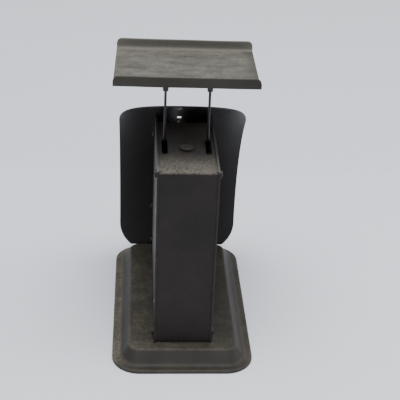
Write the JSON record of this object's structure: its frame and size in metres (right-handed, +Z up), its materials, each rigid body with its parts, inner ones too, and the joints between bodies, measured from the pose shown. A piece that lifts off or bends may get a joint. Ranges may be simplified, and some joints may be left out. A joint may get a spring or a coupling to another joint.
{
  "type": "postal scale",
  "caption": "Sprung letter scale: lipped weighing pan on two rods over a narrow housing, curved upright dial in front, pressed tray base.",
  "frame": {"origin": "on the table under the middle of the base tray", "axes": "+Z up, +X to the right seen from the dial side, the dial faces -Y and the flat back of the housing faces +Y"},
  "size_m": [0.1016, 0.171, 0.2108],
  "materials": {
    "base_enamel": "olive-grey baked enamel, dusty",
    "housing_enamel": "dark warm-grey baked enamel",
    "liner_plastic": "black moulded liner",
    "screw_steel": "screw heads painted over with the housing",
    "dial_enamel": "gloss black enamel",
    "chart_card": "printed cream card",
    "eyelet_brass": "plain brass",
    "plain_steel": "plain zinc-dulled steel",
    "pointer_enamel": "red enamel",
    "rod_steel": "drawn wire, dark oil-blued finish",
    "socket_enamel": "black enamel",
    "pan_enamel": "grey-olive enamel under a film of dust",
    "plain_brass": "dull brass",
    "knob_enamel": "dark enamel",
    "spring_steel": "bright spring wire"
  },
  "bodies": {
    "frame": {"base_plate": "base_enamel", "side_wall_right": "housing_enamel", "side_wall_left": "housing_enamel", "top_back_cover": "housing_enamel", "slot_liners": "liner_plastic", "cover_screws": "screw_steel", "dial_plate": "dial_enamel", "dial_chart": "chart_card", "chart_eyelets": "eyelet_brass", "dial_brackets": "plain_steel", "dial_screws": "screw_steel", "base_screws": "plain_steel", "base_nuts": "plain_steel", "lever_pivot_pin": "plain_steel", "check_pivot_pin": "plain_steel", "pivot_spacers": "plain_steel", "travel_stops": "plain_steel", "zero_bush": "plain_brass", "weighing_spring": "spring_steel"},
    "lever": {"main_lever": "plain_steel", "spring_pin": "plain_steel", "pointer_arm": "pointer_enamel", "pointer_rivets": "plain_steel", "pointer_blade": "pointer_enamel"},
    "check_link": {"check_link": "plain_steel"},
    "stirrup": {"stirrup_wire": "rod_steel", "stirrup_crossbar": "plain_steel", "rod_sockets": "socket_enamel", "weighing_pan": "pan_enamel"},
    "zero_knob": {"zero_knob": "knob_enamel", "zero_screw": "plain_brass", "zero_clip": "plain_steel"},
    "hanger": {"spring_hanger": "plain_steel", "hanger_pin": "plain_steel"}
  },
  "joints": [
    {"name": "lever_pivot", "type": "hinge", "parent": "frame", "child": "lever", "pos_m": [0, 0.0575, 0.043], "axis": [1, 0, 0], "range_deg": [0, 42], "stiffness_Nm_per_rad": 0.25, "springref_deg": -17.19, "deforming": ["weighing_spring"]},
    {"name": "check_pivot", "type": "hinge", "parent": "frame", "child": "check_link", "pos_m": [0, 0.0575, 0.118], "axis": [1, 0, 0], "range_deg": [0, 42]},
    {"name": "stirrup_pivot", "type": "hinge", "parent": "lever", "child": "stirrup", "pos_m": [0, 0.01555, 0.0504], "axis": [1, 0, 0], "range_deg": [-42, 0]},
    {"name": "zero_turn", "type": "hinge", "parent": "frame", "child": "zero_knob", "pos_m": [0, 0.02675, 0.15], "axis": [0, 0, 1], "range_deg": [-365, 365]},
    {"name": "hanger_travel", "type": "slide", "parent": "frame", "child": "hanger", "axis": [0, 0, 1], "range_m": [-0.0005, 0.0005]}
  ],
  "couplings": [
    {"joint": "check_pivot", "follows": "lever_pivot", "ratio": 1},
    {"joint": "stirrup_pivot", "follows": "lever_pivot", "ratio": -1},
    {"joint": "zero_turn", "follows": "hanger_travel", "rad_per_m": -12566}
  ]
}
